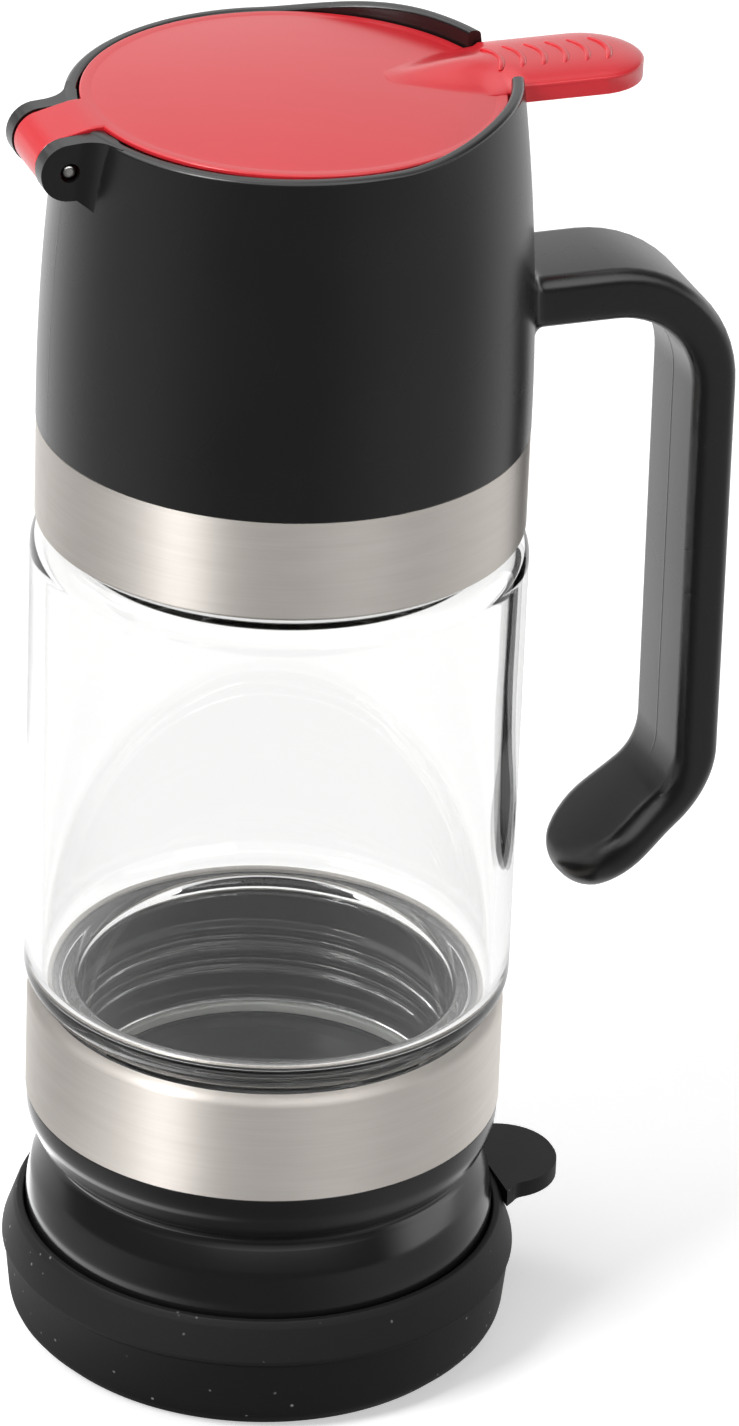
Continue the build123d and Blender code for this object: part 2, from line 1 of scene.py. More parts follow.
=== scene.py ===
# %% [markdown]
# # A syrup dispenser that pours from its base
# The glass bottle stands in a black base with a slit valve. Lifting the red lid lets air in, and the
# syrup runs out below. This script loads the mechanical model, which fixes every size and joint, and
# builds the pieces that show again as finer meshes, each riding on the body that carries it.

# %% Load the frame
from math import acos, atan2, cos, pi, radians, sin, sqrt, tan

import bmesh
import bpy
from mathutils import Matrix, Vector


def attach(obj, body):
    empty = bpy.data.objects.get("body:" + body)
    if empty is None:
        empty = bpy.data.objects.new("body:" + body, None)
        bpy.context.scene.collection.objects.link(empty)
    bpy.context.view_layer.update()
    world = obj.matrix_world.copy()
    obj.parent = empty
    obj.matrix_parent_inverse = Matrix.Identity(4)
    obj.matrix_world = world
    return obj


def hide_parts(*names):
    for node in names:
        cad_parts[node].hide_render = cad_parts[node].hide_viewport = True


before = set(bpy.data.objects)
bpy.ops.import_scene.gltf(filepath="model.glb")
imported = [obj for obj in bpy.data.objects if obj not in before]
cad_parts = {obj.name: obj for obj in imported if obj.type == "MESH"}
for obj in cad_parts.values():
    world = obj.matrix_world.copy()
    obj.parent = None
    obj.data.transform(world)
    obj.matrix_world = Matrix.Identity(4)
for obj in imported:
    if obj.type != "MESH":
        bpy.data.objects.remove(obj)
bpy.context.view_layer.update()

MM = 0.001

# %% [markdown]
# ## Outlines with rounded corners
# Nearly every part is turned: bottle, bands, base and cap are all round about one axis. So the most
# useful helper takes a list of corners, rounds each by its own radius and returns the finished
# outline. Corners are (across, up) or (across, up, radius), in millimetres.

# %% Outline helper
def rounded(corners, closed=True, turn=12):
    """Outline with an arc at each corner that has a radius, one point for every few degrees."""
    outline = []
    for index, corner in enumerate(corners):
        here = Vector(corner[:2])
        radius = corner[2] if len(corner) > 2 else 0
        at_end = not closed and index in (0, len(corners) - 1)
        if radius == 0 or at_end:
            outline.append(tuple(here))
            continue
        back = (Vector(corners[index - 1][:2]) - here).normalized()
        ahead = (Vector(corners[(index + 1) % len(corners)][:2]) - here).normalized()
        half = acos(max(-1, min(1, back.dot(ahead)))) / 2
        centre = here + (back + ahead).normalized() * radius / sin(half)
        first = here + back * radius / tan(half) - centre
        last = here + ahead * radius / tan(half) - centre
        swing = pi - 2 * half
        steps = max(2, round(swing / radians(turn)))
        for step in range(steps + 1):
            part = step / steps
            arm = (first * sin((1 - part) * swing) + last * sin(part * swing)) / sin(swing)
            outline.append(tuple(centre + arm))
    return outline


soft_square = rounded([(0, 0, 1), (9, 0, 1), (9, 9, 1), (0, 9, 1)])
print("a square with soft corners has", len(soft_square), "points")

# %% [markdown]
# ## From outlines to meshes
# Three ways of making a mesh cover the whole object. `lathe` spins an outline about Z. `prism` gives
# an outline a thickness. `loft` joins a row of equal rings, for the handle and the lever. Each ends in
# `finish_mesh`, which welds what touches, points the normals outward and keeps hard edges hard.

# %% Mesh helpers
def finish_mesh(name, shape, sharp=35):
    """Object from a finished shape, with edges over so many degrees kept sharp."""
    bmesh.ops.remove_doubles(shape, verts=shape.verts, dist=0.002 * MM)
    bmesh.ops.recalc_face_normals(shape, faces=shape.faces)
    mesh = bpy.data.meshes.new(name)
    shape.to_mesh(mesh)
    shape.free()
    mesh.shade_smooth()
    mesh.set_sharp_from_angle(angle=radians(sharp))
    piece = bpy.data.objects.new(name, mesh)
    bpy.context.scene.collection.objects.link(piece)
    return piece


def lathe(name, outline, segments=192, closed=True, sharp=35):
    """Outline of (radius, height) spun about Z."""
    shape = bmesh.new()
    points = [shape.verts.new((r * MM, 0, z * MM)) for r, z in outline]
    following = points[1:] + points[:1] if closed else points[1:]
    edges = [shape.edges.new(pair) for pair in zip(points, following)]
    bmesh.ops.spin(shape, geom=points + edges, cent=(0, 0, 0), axis=(0, 0, 1),
                   angle=2 * pi, steps=segments, use_merge=True)
    return finish_mesh(name, shape, sharp)


def prism(name, outline, low, high, plane="XY"):
    """Outline given a thickness, from low to high along the axis that the plane leaves out."""
    place = {"XY": lambda a, b, c: (a, b, c), "XZ": lambda a, b, c: (a, c, b)}[plane]
    shape = bmesh.new()
    ends = [[shape.verts.new([k * MM for k in place(a, b, c)]) for a, b in outline]
            for c in (low, high)]
    for end in ends:
        shape.faces.new(end)
    for i in range(len(outline)):
        j = (i + 1) % len(outline)
        shape.faces.new((ends[0][i], ends[0][j], ends[1][j], ends[1][i]))
    return finish_mesh(name, shape)


def loft(name, rings, sharp=35):
    """Rings of equal length, in millimetres, joined in order and closed at both ends."""
    shape = bmesh.new()
    loops = [[shape.verts.new([k * MM for k in point]) for point in ring] for ring in rings]
    for one, two in zip(loops, loops[1:]):
        for i in range(len(one)):
            j = (i + 1) % len(one)
            shape.faces.new((one[i], one[j], two[j], two[i]))
    shape.faces.new(loops[0])
    shape.faces.new(loops[-1])
    return finish_mesh(name, shape, sharp)


print("mesh helpers: lathe, prism, loft")

# %% [markdown]
# ## Cutting, joining and softening
# Where a form isn't turned, such as the hinge ears, simple solids are joined and cut with Boolean
# modifiers, as one would mill them. A Bevel modifier then rounds the hard edges that are left,
# because a moulded part has no edge that is truly sharp, and the light catches each small round. Last,
# a Weighted Normal modifier keeps the flat faces between those rounds looking flat.

# %% Modifier helpers
def apply_modifiers(piece):
    """The mesh becomes what its modifiers make of it."""
    graph = bpy.context.evaluated_depsgraph_get()
    mesh = bpy.data.meshes.new_from_object(piece.evaluated_get(graph))
    piece.modifiers.clear()
    piece.data = mesh


def combine(piece, tool, operation):
    """Boolean of a piece with a tool, which is used up."""
    modifier = piece.modifiers.new("cut", "BOOLEAN")
    modifier.operation = operation
    modifier.solver = "EXACT"
    modifier.object = tool
    apply_modifiers(piece)
    bpy.data.objects.remove(tool)


def soften(piece, width, angle=40, segments=3):
    """Rounds every edge that is sharper than an angle, and keeps the faces between looking flat."""
    modifier = piece.modifiers.new("soften", "BEVEL")
    modifier.width = width * MM
    modifier.segments = segments
    modifier.limit_method = "ANGLE"
    modifier.angle_limit = radians(angle)
    modifier.miter_outer = "MITER_ARC"
    apply_modifiers(piece)
    piece.data.shade_smooth()
    piece.data.set_sharp_from_angle(angle=radians(50))
    weigh = piece.modifiers.new("weigh", "WEIGHTED_NORMAL")
    weigh.keep_sharp = True
    apply_modifiers(piece)


def join(piece, *others):
    """Other meshes become part of the first one."""
    shape = bmesh.new()
    for mesh in [piece.data] + [other.data for other in others]:
        shape.from_mesh(mesh)
    shape.to_mesh(piece.data)
    shape.free()
    for other in others:
        bpy.data.objects.remove(other)


print("modifier helpers: combine, soften, join")

# %% [markdown]
# ## Shader maths as arithmetic
# A finish is a graph of nodes. Written node by node it is long, so `Wire` wraps one output socket and
# lets numbers be added and multiplied as in plain Python, and `Finish.node` makes any other node.

# %% Shader helpers
class Wire:
    """One output of a node, for use in arithmetic."""

    def __init__(self, finish, socket):
        self.finish = finish
        self.socket = socket

    def maths(self, operation, *values):
        """Any operation of the Math node, on wires or numbers."""
        settings = {"operation": operation}
        return self.finish.node("ShaderNodeMath", settings, dict(enumerate(values)))

    def __add__(self, other):
        return self.maths("ADD", self, other)

    def __sub__(self, other):
        return self.maths("SUBTRACT", self, other)

    def __rsub__(self, other):
        return self.maths("SUBTRACT", other, self)

    def __mul__(self, other):
        return self.maths("MULTIPLY", self, other)

    def between(self, low, high):
        """0 below low and 1 above high, smoothly."""
        return self.finish.node(
            "ShaderNodeMapRange", {"interpolation_type": "SMOOTHSTEP"},
            {"Value": self, "From Min": low, "From Max": high})

    __radd__ = __add__
    __rmul__ = __mul__


class Finish:
    """A material on the Principled shader, with constants set as sockets by name."""

    def __init__(self, name, **sockets):
        self.material = bpy.data.materials.new(name)
        self.material.use_nodes = True
        self.tree = self.material.node_tree
        self.shader = self.tree.nodes["Principled BSDF"]
        for socket, value in sockets.items():
            self.shader.inputs[socket.replace("_", " ")].default_value = value

    def node(self, kind, settings=None, values=None, output=0):
        """A node with its settings, then the values or wires of its sockets."""
        made = self.tree.nodes.new(kind)
        for key, value in (settings or {}).items():
            setattr(made, key, value)
        for key, value in (values or {}).items():
            self.plug(made.inputs[key], value)
        return Wire(self, made.outputs[output])

    def plug(self, socket, value):
        """A wire is linked to a socket, and a number or colour is set on it."""
        if isinstance(value, Wire):
            self.tree.links.new(value.socket, socket)
        else:
            socket.default_value = value

    def feed(self, socket, value):
        """The same for a socket of the shader, by its name."""
        self.plug(self.shader.inputs[socket], value)

    def place(self):
        """Coordinates that stay with the object, in metres."""
        return self.node("ShaderNodeTexCoord", output="Object")

    def grain(self, place, scale, detail):
        """Soft noise from 0 to 1, with so many lumps to a metre and finer ones on top."""
        values = {"Vector": place, "Scale": scale, "Detail": detail}
        return self.node("ShaderNodeTexNoise", {}, values, "Fac")

    def relief(self, height, depth, strength):
        """Bumps the surface by a height from 0 to 1, with a depth in millimetres."""
        values = {"Height": height, "Distance": depth * MM, "Strength": strength}
        self.feed("Normal", self.node("ShaderNodeBump", {}, values))

    def tint(self, mask, first, second):
        """Base colour from a first one at mask 0 to a second one at mask 1."""
        colour_a, colour_b, colour_out = 6, 7, 2
        values = {"Factor": mask, colour_a: (*first, 1), colour_b: (*second, 1)}
        self.feed("Base Color", self.node("ShaderNodeMix", {"data_type": "RGBA"}, values, colour_out))

    def axes(self, place):
        """Wires for X, Y and Z of a place."""
        outputs = self.node("ShaderNodeSeparateXYZ", {}, {"Vector": place}).socket.node.outputs
        return [Wire(self, outputs[axis]) for axis in "XYZ"]


def wear(piece, finish):
    """Gives a piece one finish all over."""
    piece.data.materials.clear()
    piece.data.materials.append(finish.material)
    for face in piece.data.polygons:
        face.material_index = 0


print("shader helpers: Wire, Finish, wear")

# %% [markdown]
# ## The finishes
# The collar and handle are satin black plastic with a fine moulded grain. The parting line of the
# mould shows as a hair line on the collar under the hinge, so a narrow mask around y = 0 lifts the
# surface there.

# %% Satin black plastic
seam_half, seam_edge, seam_end = 0.05 * MM, 0.16 * MM, -31 * MM
satin = Finish("satin_black_plastic", Roughness=0.27, Specular_IOR_Level=0.5)
place = satin.place()
cloud = satin.grain(place, 60, 2)
satin.tint(cloud, (0.0060, 0.0058, 0.0058), (0.0090, 0.0087, 0.0087))
satin.feed("Roughness", 0.24 + cloud * 0.06)
x, y = satin.axes(place)[:2]
on_line = 1 - y.maths("ABSOLUTE", y).between(seam_half, seam_edge)
seam = on_line * (1 - x.between(seam_end, seam_end + MM))
fine = satin.grain(place, 2600, 2)
satin.relief(fine * 0.25 + seam * 0.9, 0.05, 0.6)
print("satin black:", len(satin.tree.nodes), "nodes")

# %% [markdown]
# The base is the same black in a glossier mould. Inside the cup the colour is lifted to a lighter grey
# as painted light. It stands in for the light that comes in through the glass and for the reflections
# off the glass in front of it, so a mask by radius and height picks the cup out.
# Slow waves in the surface keep what it mirrors from being too straight. The cap is silicone, which is
# matte and holds dust: small bright specks where a second, coarser noise lets them through.

# %% Gloss black plastic and silicone
cup_radius, cup_low = 31.4, 28.0
gloss = Finish("gloss_black_plastic", Roughness=0.18, Specular_IOR_Level=0.5)
place = gloss.place()
cloud = gloss.grain(place, 45, 2)
x, y, z = gloss.axes(place)
near_wall, past_wall = (cup_radius - 0.1) * MM, (cup_radius + 0.2) * MM
in_cup = 1 - (x * x + y * y).between(near_wall ** 2, past_wall ** 2)
# Painted light: the cup inside the bottle is tinted lighter grey in place of the light through the glass
# and the glass's reflections.
painted_light_cup = in_cup * z.between((cup_low - 0.5) * MM, (cup_low + 0.5) * MM)
gloss.tint(painted_light_cup, (0.0075, 0.0072, 0.0075), (0.042, 0.043, 0.045))
gloss.feed("Roughness", 0.15 + cloud * 0.06)
gloss.relief(gloss.grain(place, 110, 1), 0.02, 0.2)

silicone = Finish("matte_black_silicone", Roughness=0.62, Specular_IOR_Level=0.22)
place = silicone.place()
cloud = silicone.grain(place, 80, 3)
cells = silicone.node("ShaderNodeTexVoronoi", {}, {"Vector": place, "Scale": 420.0})
specks = (1 - cells.between(0.05, 0.13)) * silicone.grain(place, 230, 2).between(0.50, 0.56)
silicone.tint(specks, (0.0085, 0.0082, 0.0085), (0.21, 0.205, 0.20))
silicone.feed("Roughness", 0.56 + cloud * 0.12)
silicone.relief(silicone.grain(place, 1800, 3), 0.05, 0.5)
print("gloss black and silicone are made")

# %% [markdown]
# The lid is glossy red plastic. Pigment is never quite even, so two near reds are mixed.

# %% Red plastic
red = Finish("gloss_red_plastic", Roughness=0.24, Specular_IOR_Level=0.5)
place = red.place()
cloud = red.grain(place, 35, 2)
red.tint(cloud, (0.665, 0.020, 0.030), (0.720, 0.028, 0.038))
red.feed("Roughness", 0.20 + cloud * 0.08)
red.relief(red.grain(place, 900, 2), 0.012, 0.5)
print("red plastic is made")

# %% [markdown]
# The bands are stainless steel, brushed around the bottle. Brushing is noise that changes quickly in
# height and slowly around, so the noise is looked up at an angle around the axis and a height, each
# with its own scale. The shader's anisotropy then stretches the reflections up and down.

# %% Brushed steel
steel = Finish("brushed_steel", Metallic=1.0, Roughness=0.54, Anisotropic=0.90,
               Anisotropic_Rotation=0.25)
x, y, height = steel.axes(steel.place())
turn = y.maths("ARCTAN2", y, x)


def brushing(around, upward, layer, detail):
    """Noise with so many changes to a radian around the band and to a metre of its height."""
    values = {"X": turn * around, "Y": height * upward, "Z": layer}
    return steel.grain(steel.node("ShaderNodeCombineXYZ", {}, values), 1.0, detail)


lines = brushing(1.6, 2600.0, 0.0, 4)
broad = brushing(3.0, 500.0, 3.0, 2)
steel.tint(lines * 0.6 + broad * 0.4, (0.585, 0.545, 0.505), (0.760, 0.720, 0.680))
steel.feed("Roughness", 0.50 + lines * 0.10)
steel.relief(lines, 0.010, 0.5)
print("brushed steel:", len(steel.tree.nodes), "nodes")

# %% [markdown]
# Pressed glass is clear but never perfectly flat, so slow waves bend what is seen through it.
# The small parts inside are white plastic and milky silicone.

# %% Glass and inner parts
glass = Finish("clear_glass", Base_Color=(0.984, 0.986, 0.981, 1), Roughness=0.0, IOR=1.52,
               Transmission_Weight=1.0)
glass.relief(glass.grain(glass.place(), 38, 1), 0.30, 0.35)

milky = Finish("milky_silicone", Roughness=0.5, Specular_IOR_Level=0.4)
milky.tint(milky.grain(milky.place(), 70, 2), (0.60, 0.60, 0.57), (0.68, 0.68, 0.65))
white = Finish("white_plastic", Roughness=0.4, Specular_IOR_Level=0.4)
white.tint(white.grain(white.place(), 50, 2), (0.72, 0.72, 0.70), (0.78, 0.78, 0.76))
pin_steel = Finish("pin_steel", Metallic=1.0, Roughness=0.28)
pin_steel.tint(pin_steel.grain(pin_steel.place(), 700, 2), (0.55, 0.54, 0.52), (0.66, 0.65, 0.63))
print("glass, milky silicone, white plastic and pin steel are made")

# %% [markdown]
# ## The silicone cap
# The cap is one turned wall with a widest line about two thirds up, where the two halves of its mould
# met, and a pull tab. The tab's plan is an outline whose corners flare into the wall. A small plug
# inside reaches up into the outlet.

# %% Base cap
cap = lathe("base_cap_look", rounded([
    (0, 0), (33.6, 0, 2.4), (36.9, 3.2, 3.5), (37.8, 12.3, 0.1), (38.15, 12.7, 0.12),
    (38.1, 13.2, 0.2), (36.5, 17.9, 0.7), (36.0, 18.9, 0.35), (35.0, 18.9, 0.3),
    (35.0, 3.0), (0, 3.0)], closed=False), closed=False)
half_tab, tab_low, tab_high = 8.9, 17.0, 19.6
tab_plan = rounded([
    (35.6, -half_tab - 2.0), (36.9, -half_tab - 1.0, 2.0), (38.0, -half_tab, 2.0),
    (46.8, -half_tab, half_tab - 0.5), (46.8, half_tab, half_tab - 0.5),
    (38.0, half_tab, 2.0), (36.9, half_tab + 1.0, 2.0), (35.6, half_tab + 2.0)], turn=6)
tab = prism("tab", tab_plan, tab_low, tab_high)
soften(tab, 0.9, segments=4)
plug_outline = rounded([(0, 2.4), (4.2, 2.4), (4.2, 13.9, 1.0), (0, 13.9)], closed=False)
plug = lathe("plug", plug_outline, 96, closed=False)
join(cap, tab, plug)
wear(cap, silicone)
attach(cap, "cap")
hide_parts("base_cap")
print("base cap:", len(cap.data.polygons), "faces")

# %% [markdown]
# ## The base
# The black base has a deep waist under its steel band and a bulge that drops into the cap. Inside is
# a cup with a screw thread, and below it a funnel that leads to the outlet. One closed outline holds
# all of it. The thread is a ridge whose height is worked out from the angle and the height, and it is
# pushed out of the wall after the lathe, so it needs rows of points close together.

# %% Screw thread helper
def smooth(value):
    """0 below 0 and 1 above 1, with a soft curve between."""
    value = max(0.0, min(1.0, value))
    return value * value * (3 - 2 * value)


def wall_rows(radius, low, high, step=0.25):
    """Points up or down a straight wall, for a lathe outline."""
    count = max(1, round(abs(high - low) / step))
    return [(radius, low + (high - low) * i / count) for i in range(count + 1)]


PITCH, TURNS = 4.0, 1.75


def add_thread(piece, wall, first, sense, depth=1.1):
    """Pushes a helical ridge out of a wall, outward for sense 1 and inward for sense -1."""
    crest, flank, run_out = 0.35, 0.75, 0.06
    for vertex in piece.data.vertices:
        x, y, z = vertex.co / MM
        radius = sqrt(x * x + y * y)
        if abs(radius - wall) > 0.05:
            continue
        for lap in range(2):
            along = atan2(y, x) % (2 * pi) / (2 * pi) + lap
            off = abs(z - first - PITCH * along)
            if along > TURNS or off > crest + flank:
                continue
            ends = smooth(along / run_out) * smooth((TURNS - along) / run_out)
            rise = depth * (1 - smooth((off - crest) / flank)) * ends
            scale = (radius + sense * rise) / radius
            vertex.co = Vector((x * scale, y * scale, z)) * MM


print("a thread of", TURNS, "turns at", PITCH, "mm pitch climbs", TURNS * PITCH, "mm")

# %% Base
bulge = 34.7
funnel = [(5.2, 29.0, 1.0), (24.3, 34.2, 2.0), (27.1, 34.4), (27.1, 35.0), (cup_radius, 35.0)]
cup_wall = wall_rows(cup_radius, 36.0, 53.8) + [(cup_radius, 54.4), (34.5, 54.4)]
outside = [
    (34.5, 38.7), (34.95, 38.7, 0.35), (34.7, 35.0, 4.0), (33.3, 31.6, 1.6), (31.6, 30.0, 1.0),
    (32.35, 28.6, 1.4), (34.0, 25.2, 6.0), (bulge, 21.2, 8.0), (bulge, 3.0, 0.6)]
underside = [
    (32.5, 3.0, 0.4), (32.5, 21.3, 6.0), (29.3, 26.1, 1.5), (9.4, 24.0, 2.0), (9.0, 11.0, 0.5),
    (7.3, 11.0), (7.3, 17.4), (5.2, 17.4)]
base = lathe("base_look", rounded(funnel + cup_wall + outside + underside))
add_thread(base, cup_radius, 43.5, -1)
wear(base, gloss)
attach(base, "base")
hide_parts("base")
print("base:", len(base.data.polygons), "faces")

# %% [markdown]
# ## The steel bands
# Each band is a thin ring rolled from sheet. The lower one turns inward at the top, and the upper one
# at the bottom, so that no raw edge faces the hand.

# %% Steel bands
band_radius, sheet = 35.0, 0.4
band_bore = band_radius - sheet
lower_band = lathe("lower_band_look", rounded([
    (band_radius, 38.7), (band_radius, 55.2, 1.2), (32.9, 55.2), (32.9, 55.2 - sheet),
    (band_bore, 55.2 - sheet, 0.8), (band_bore, 38.7)], turn=8), 256)
upper_band = lathe("upper_band_look", rounded([
    (band_radius, 131.8, 0.6), (band_radius, 146.8), (band_bore, 146.8), (band_bore, 131.8 + sheet),
    (33.6, 131.8 + sheet), (33.6, 131.8)], turn=8), 256)
for band, node, body in ((lower_band, "lower_band", "base"), (upper_band, "upper_band", "collar")):
    wear(band, steel)
    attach(band, body)
    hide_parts(node)
    print(node, "height", round(band.dimensions.z / MM, 1), "mm")

# %% [markdown]
# ## The glass bottle
# The bottle is a tube with a shoulder and a threaded neck at each end. Both walls are needed, because
# light bends at each, so the outline runs up the outside and down the inside.

# %% Glass bottle
neck, neck_bore, body, body_bore = 30.0, 27.6, 35.65, 33.05
lower_neck = [(neck_bore, 36.5, 0.9), (neck, 36.5, 0.9)] + wall_rows(neck, 38.0, 52.5)
outside = [(neck, 55.3, 1.6), (body, 56.3, 5.0), (body, 130.7, 5.0), (neck, 131.7, 1.6)]
upper_neck = wall_rows(neck, 134.5, 148.5) + [(neck, 150.0, 0.9), (neck_bore, 150.0, 0.9)]
inside = [(neck_bore, 129.1, 1.6), (body_bore, 128.1, 2.2), (body_bore, 58.9, 3.6),
          (neck_bore, 57.9, 1.6)]
bottle_outline = rounded(lower_neck + outside + upper_neck + inside, turn=6)
bottle = lathe("glass_bottle_look", bottle_outline, 256)
for first in (41.5, 138.0):
    add_thread(bottle, neck, first, 1)
wear(bottle, glass)
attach(bottle, "bottle")
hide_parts("glass_bottle")
print("bottle:", len(bottle.data.polygons), "faces")

# %% [markdown]
# ## The collar
# The collar is moulded in one with the handle. It starts as a turned tube that leans in towards the
# lip. The lip isn't level: it dips at the hinge and rises beside the lever. That is done by moving the
# top rows up or down by an amount that depends only on x, so the rounded lip keeps its form.

# %% Collar tube
lean_from, lip_from, lip_top, lip_round, collar_bore = 149.8, 184, 198.9, 0.70, 30.05


def lip_height(x):
    """Lowest at the hinge, a little higher along the sides and highest beside the lever."""
    return 195.85 + 0.45 * smooth((x + 30) / 34) + 2.6 * smooth((x - 5) / 22)


def wall_radius(z):
    """Radius of the outside, which leans in more and more towards the lip."""
    return 35.05 - 3.28 * (max(z - lean_from, 0) / (lip_top - lean_from)) ** 2


wall_rise = lip_top - lip_round - lean_from
heights = [lean_from + wall_rise * i / 24 for i in range(25)]
collar = lathe("collar_look", rounded([
    (33.1, 132.2), (34.5, 132.2), (34.5, 146.8), (35.05, 146.8, 0.25)]
    + [(wall_radius(z), z) for z in heights]
    + [(wall_radius(lip_top), lip_top, lip_round), (collar_bore, lip_top, 0.55),
       (collar_bore, 196.0), (collar_bore, 183.3), (33.1, 146.8)], turn=15), 256)
for vertex in collar.data.vertices:
    x, y, z = vertex.co / MM
    if z > lip_from:
        part = (z - lip_from) / (lip_top - lip_from)
        vertex.co.z = (lip_from + part * (lip_height(x) - lip_from)) * MM
print("lip from", lip_height(-30), "to", round(lip_height(30), 2), "mm")

# %% [markdown]
# The hinge ears are the crossing of two outlines. Seen from the side each is a round eye with a
# sloping gusset under it, and seen from above it flares into the wall. The crossing is joined to the
# tube, and then the bore, the slot for the lid's barrel, the notch for the lever and the pin holes
# are cut.

# %% Hinge ears, slot and notch
pin_x, pin_z, above = -34.9, 191.2, 205


def about_pin(radius, start, stop, step):
    """Points on a circle around the pin, seen from the side, from one angle to another."""
    angles = [radians(a) for a in range(start, stop, step)]
    return [(pin_x + radius * cos(a), pin_z + radius * sin(a)) for a in angles]


def ear_plan(z, side=8.2, spread=12.6):
    """Both ears from above, flaring into the wall as it is at a height z."""
    wall = wall_radius(z)
    meet = -sqrt(wall ** 2 - side ** 2)
    foot = -sqrt(wall ** 2 - spread ** 2) + 0.6
    return [(x, y, z) for x, y in rounded([
        (-44, -side), (meet, -side, 4.0), (foot, -spread), (foot + 0.6, -spread),
        (foot + 0.6, spread), (foot, spread), (meet, side, 4.0), (-44, side)], turn=6)]


def cut_box(name, left, right, low, half_width):
    """Cuts a box out of the collar, from a height upward."""
    outline = [(left, low), (right, low), (right, above), (left, above)]
    combine(collar, prism(name, outline, -half_width, half_width, "XZ"), "DIFFERENCE")


gusset = [(-33.9, 187.05), (-30.5, 184.5), (-28.6, 184.5)]
ears_outline = [(-28.6, 195.87)] + about_pin(4.15, 90, 271, 9) + gusset
ears = prism("ears", ears_outline, -16, 16, "XZ")
flare = loft("flare", [ear_plan(z) for z in range(180, 201, 2)])
combine(ears, flare, "INTERSECT")
combine(collar, ears, "UNION")
bore = [(0, 183.5), (collar_bore, 183.5), (collar_bore, above), (0, above)]
combine(collar, lathe("bore", bore, 256, closed=False), "DIFFERENCE")
cut_box("slot", -46, -28, 186.7, 5.4)
cut_box("notch", 20, 40, 194.05, 8.65)
combine(collar, prism("hole", about_pin(1.4, 0, 360, 12), -9, 9, "XZ"), "DIFFERENCE")
soften(collar, 0.5, segments=4)
print("collar with ears:", len(collar.data.polygons), "faces")

# %% [markdown]
# The handle is a bar bent in one plane. At each station along it a ring is laid with an outer and an
# inner point. The outer line turns with a large radius and the inner line with a small one, so the
# bar thins evenly from the arm to the grip. Near the collar the rings swell into the wall. Towards
# the free end the bar grows a little wider, its edges grow rounder and the mould line on its inner
# face fades, and then the rings narrow along a half circle. Last, the rings at the root are pushed
# back so that they follow the round wall of the collar.

# %% Handle
def bend(centre, start, stop, outer, inner, inner_centre=None, steps=14):
    """Stations around a bend, as pairs of an outer and an inner point."""
    inside = inner_centre or centre
    stations = []
    for step in range(steps + 1):
        angle = radians(start + (stop - start) * step / steps)
        turn = (cos(angle), sin(angle))
        stations.append(((centre[0] + outer * turn[0], centre[1] + outer * turn[1]),
                         (inside[0] + inner * turn[0], inside[1] + inner * turn[1])))
    return stations


def bar_ring(outer, inner, half_width, edge, ridge):
    """Rounded rectangle across the bar, with a fine raised line along its inner face."""
    out = Vector(outer)
    depth = Vector(inner) - out
    thick = depth.length
    depth.normalize()
    edge = min(edge, half_width * 0.9, thick * 0.49)
    line = min(0.2, 0.1 * half_width)
    ring = rounded([
        (0, -half_width, edge), (0, half_width, edge), (thick, half_width, edge),
        (thick, 1.6 * line), (thick, line), (thick + ridge, 0.4 * line),
        (thick + ridge, -0.4 * line), (thick, -line), (thick, -1.6 * line),
        (thick, -half_width, edge)], turn=11)
    return [(out.x + depth.x * d, w, out.y + depth.y * d) for d, w in ring]


def along_line(first, last, part):
    """Point between two others."""
    return tuple(a + (b - a) * part for a, b in zip(first, last))


def edge_round(z):
    """Radius of the bar's edges, larger towards the free end."""
    return 2.2 + 0.9 * smooth((90 - z) / 12)


def mould_line(z):
    """Height of the mould line, which fades towards the free end."""
    return 0.05 * smooth((z - 78) / 10)


arm_top, arm_low, half_grip, root_swell = 167.5, 159.7, 9.25, 1.6
stations = [((x, arm_top + root_swell), (x, arm_low - root_swell), half_grip + root_swell)
            for x in (32.0, 33.4)]
for step in range(9):
    angle = radians(11.25 * step)
    x = 36.2 - root_swell * cos(angle)
    more = root_swell * (1 - sin(angle))
    stations.append(((x, arm_top + more), (x, arm_low - more), half_grip + more))
for x in (37.5, 40.0, 43.0):
    stations.append(((x, arm_top), (x, arm_low), half_grip))

end_angle = -49
upper_bend = bend((45.8, 147.5), 90, 0, 20.0, 12.5, (46.7, 147.2))
lower_bend = bend((50.5, 88.5), 0, end_angle, 15.94, 9.4)
(high_outer, high_inner), (low_outer, low_inner) = upper_bend[-1], lower_bend[0]
grip = [(along_line(high_outer, low_outer, part), along_line(high_inner, low_inner, part))
        for part in (0.25, 0.5, 0.75)]
stations += [(outer, inner, half_grip) for outer, inner in upper_bend + grip + lower_bend]

end_outer, end_inner = (Vector(point) for point in lower_bend[-1])
inward = (end_inner - end_outer).normalized()
run = Vector((sin(radians(end_angle)), -cos(radians(end_angle))))
tip_radius, tip_round, tip_reach, tip_thick = 10.1, 2.8, 17.8, 6.6
for left in (15.5, 13.0, 11.4, 10.1, 8.6, 7.2, 5.8, 4.6, 3.5,
             2.7, 2.0, 1.4, 0.9, 0.55, 0.3, 0.12, 0.0):
    width = half_grip + (tip_radius - half_grip) * smooth((tip_reach - left) / 8)
    if left < tip_radius:
        width = sqrt(tip_radius ** 2 - (tip_radius - left) ** 2)
    thin = 0.0
    if left < tip_round:
        thin = tip_round - sqrt(tip_round ** 2 - (tip_round - left) ** 2)
    place = end_outer + run * (tip_reach - left)
    outer, inner = place + inward * thin, place + inward * (tip_thick - thin)
    stations.append((tuple(outer), tuple(inner), max(width, 0.3)))

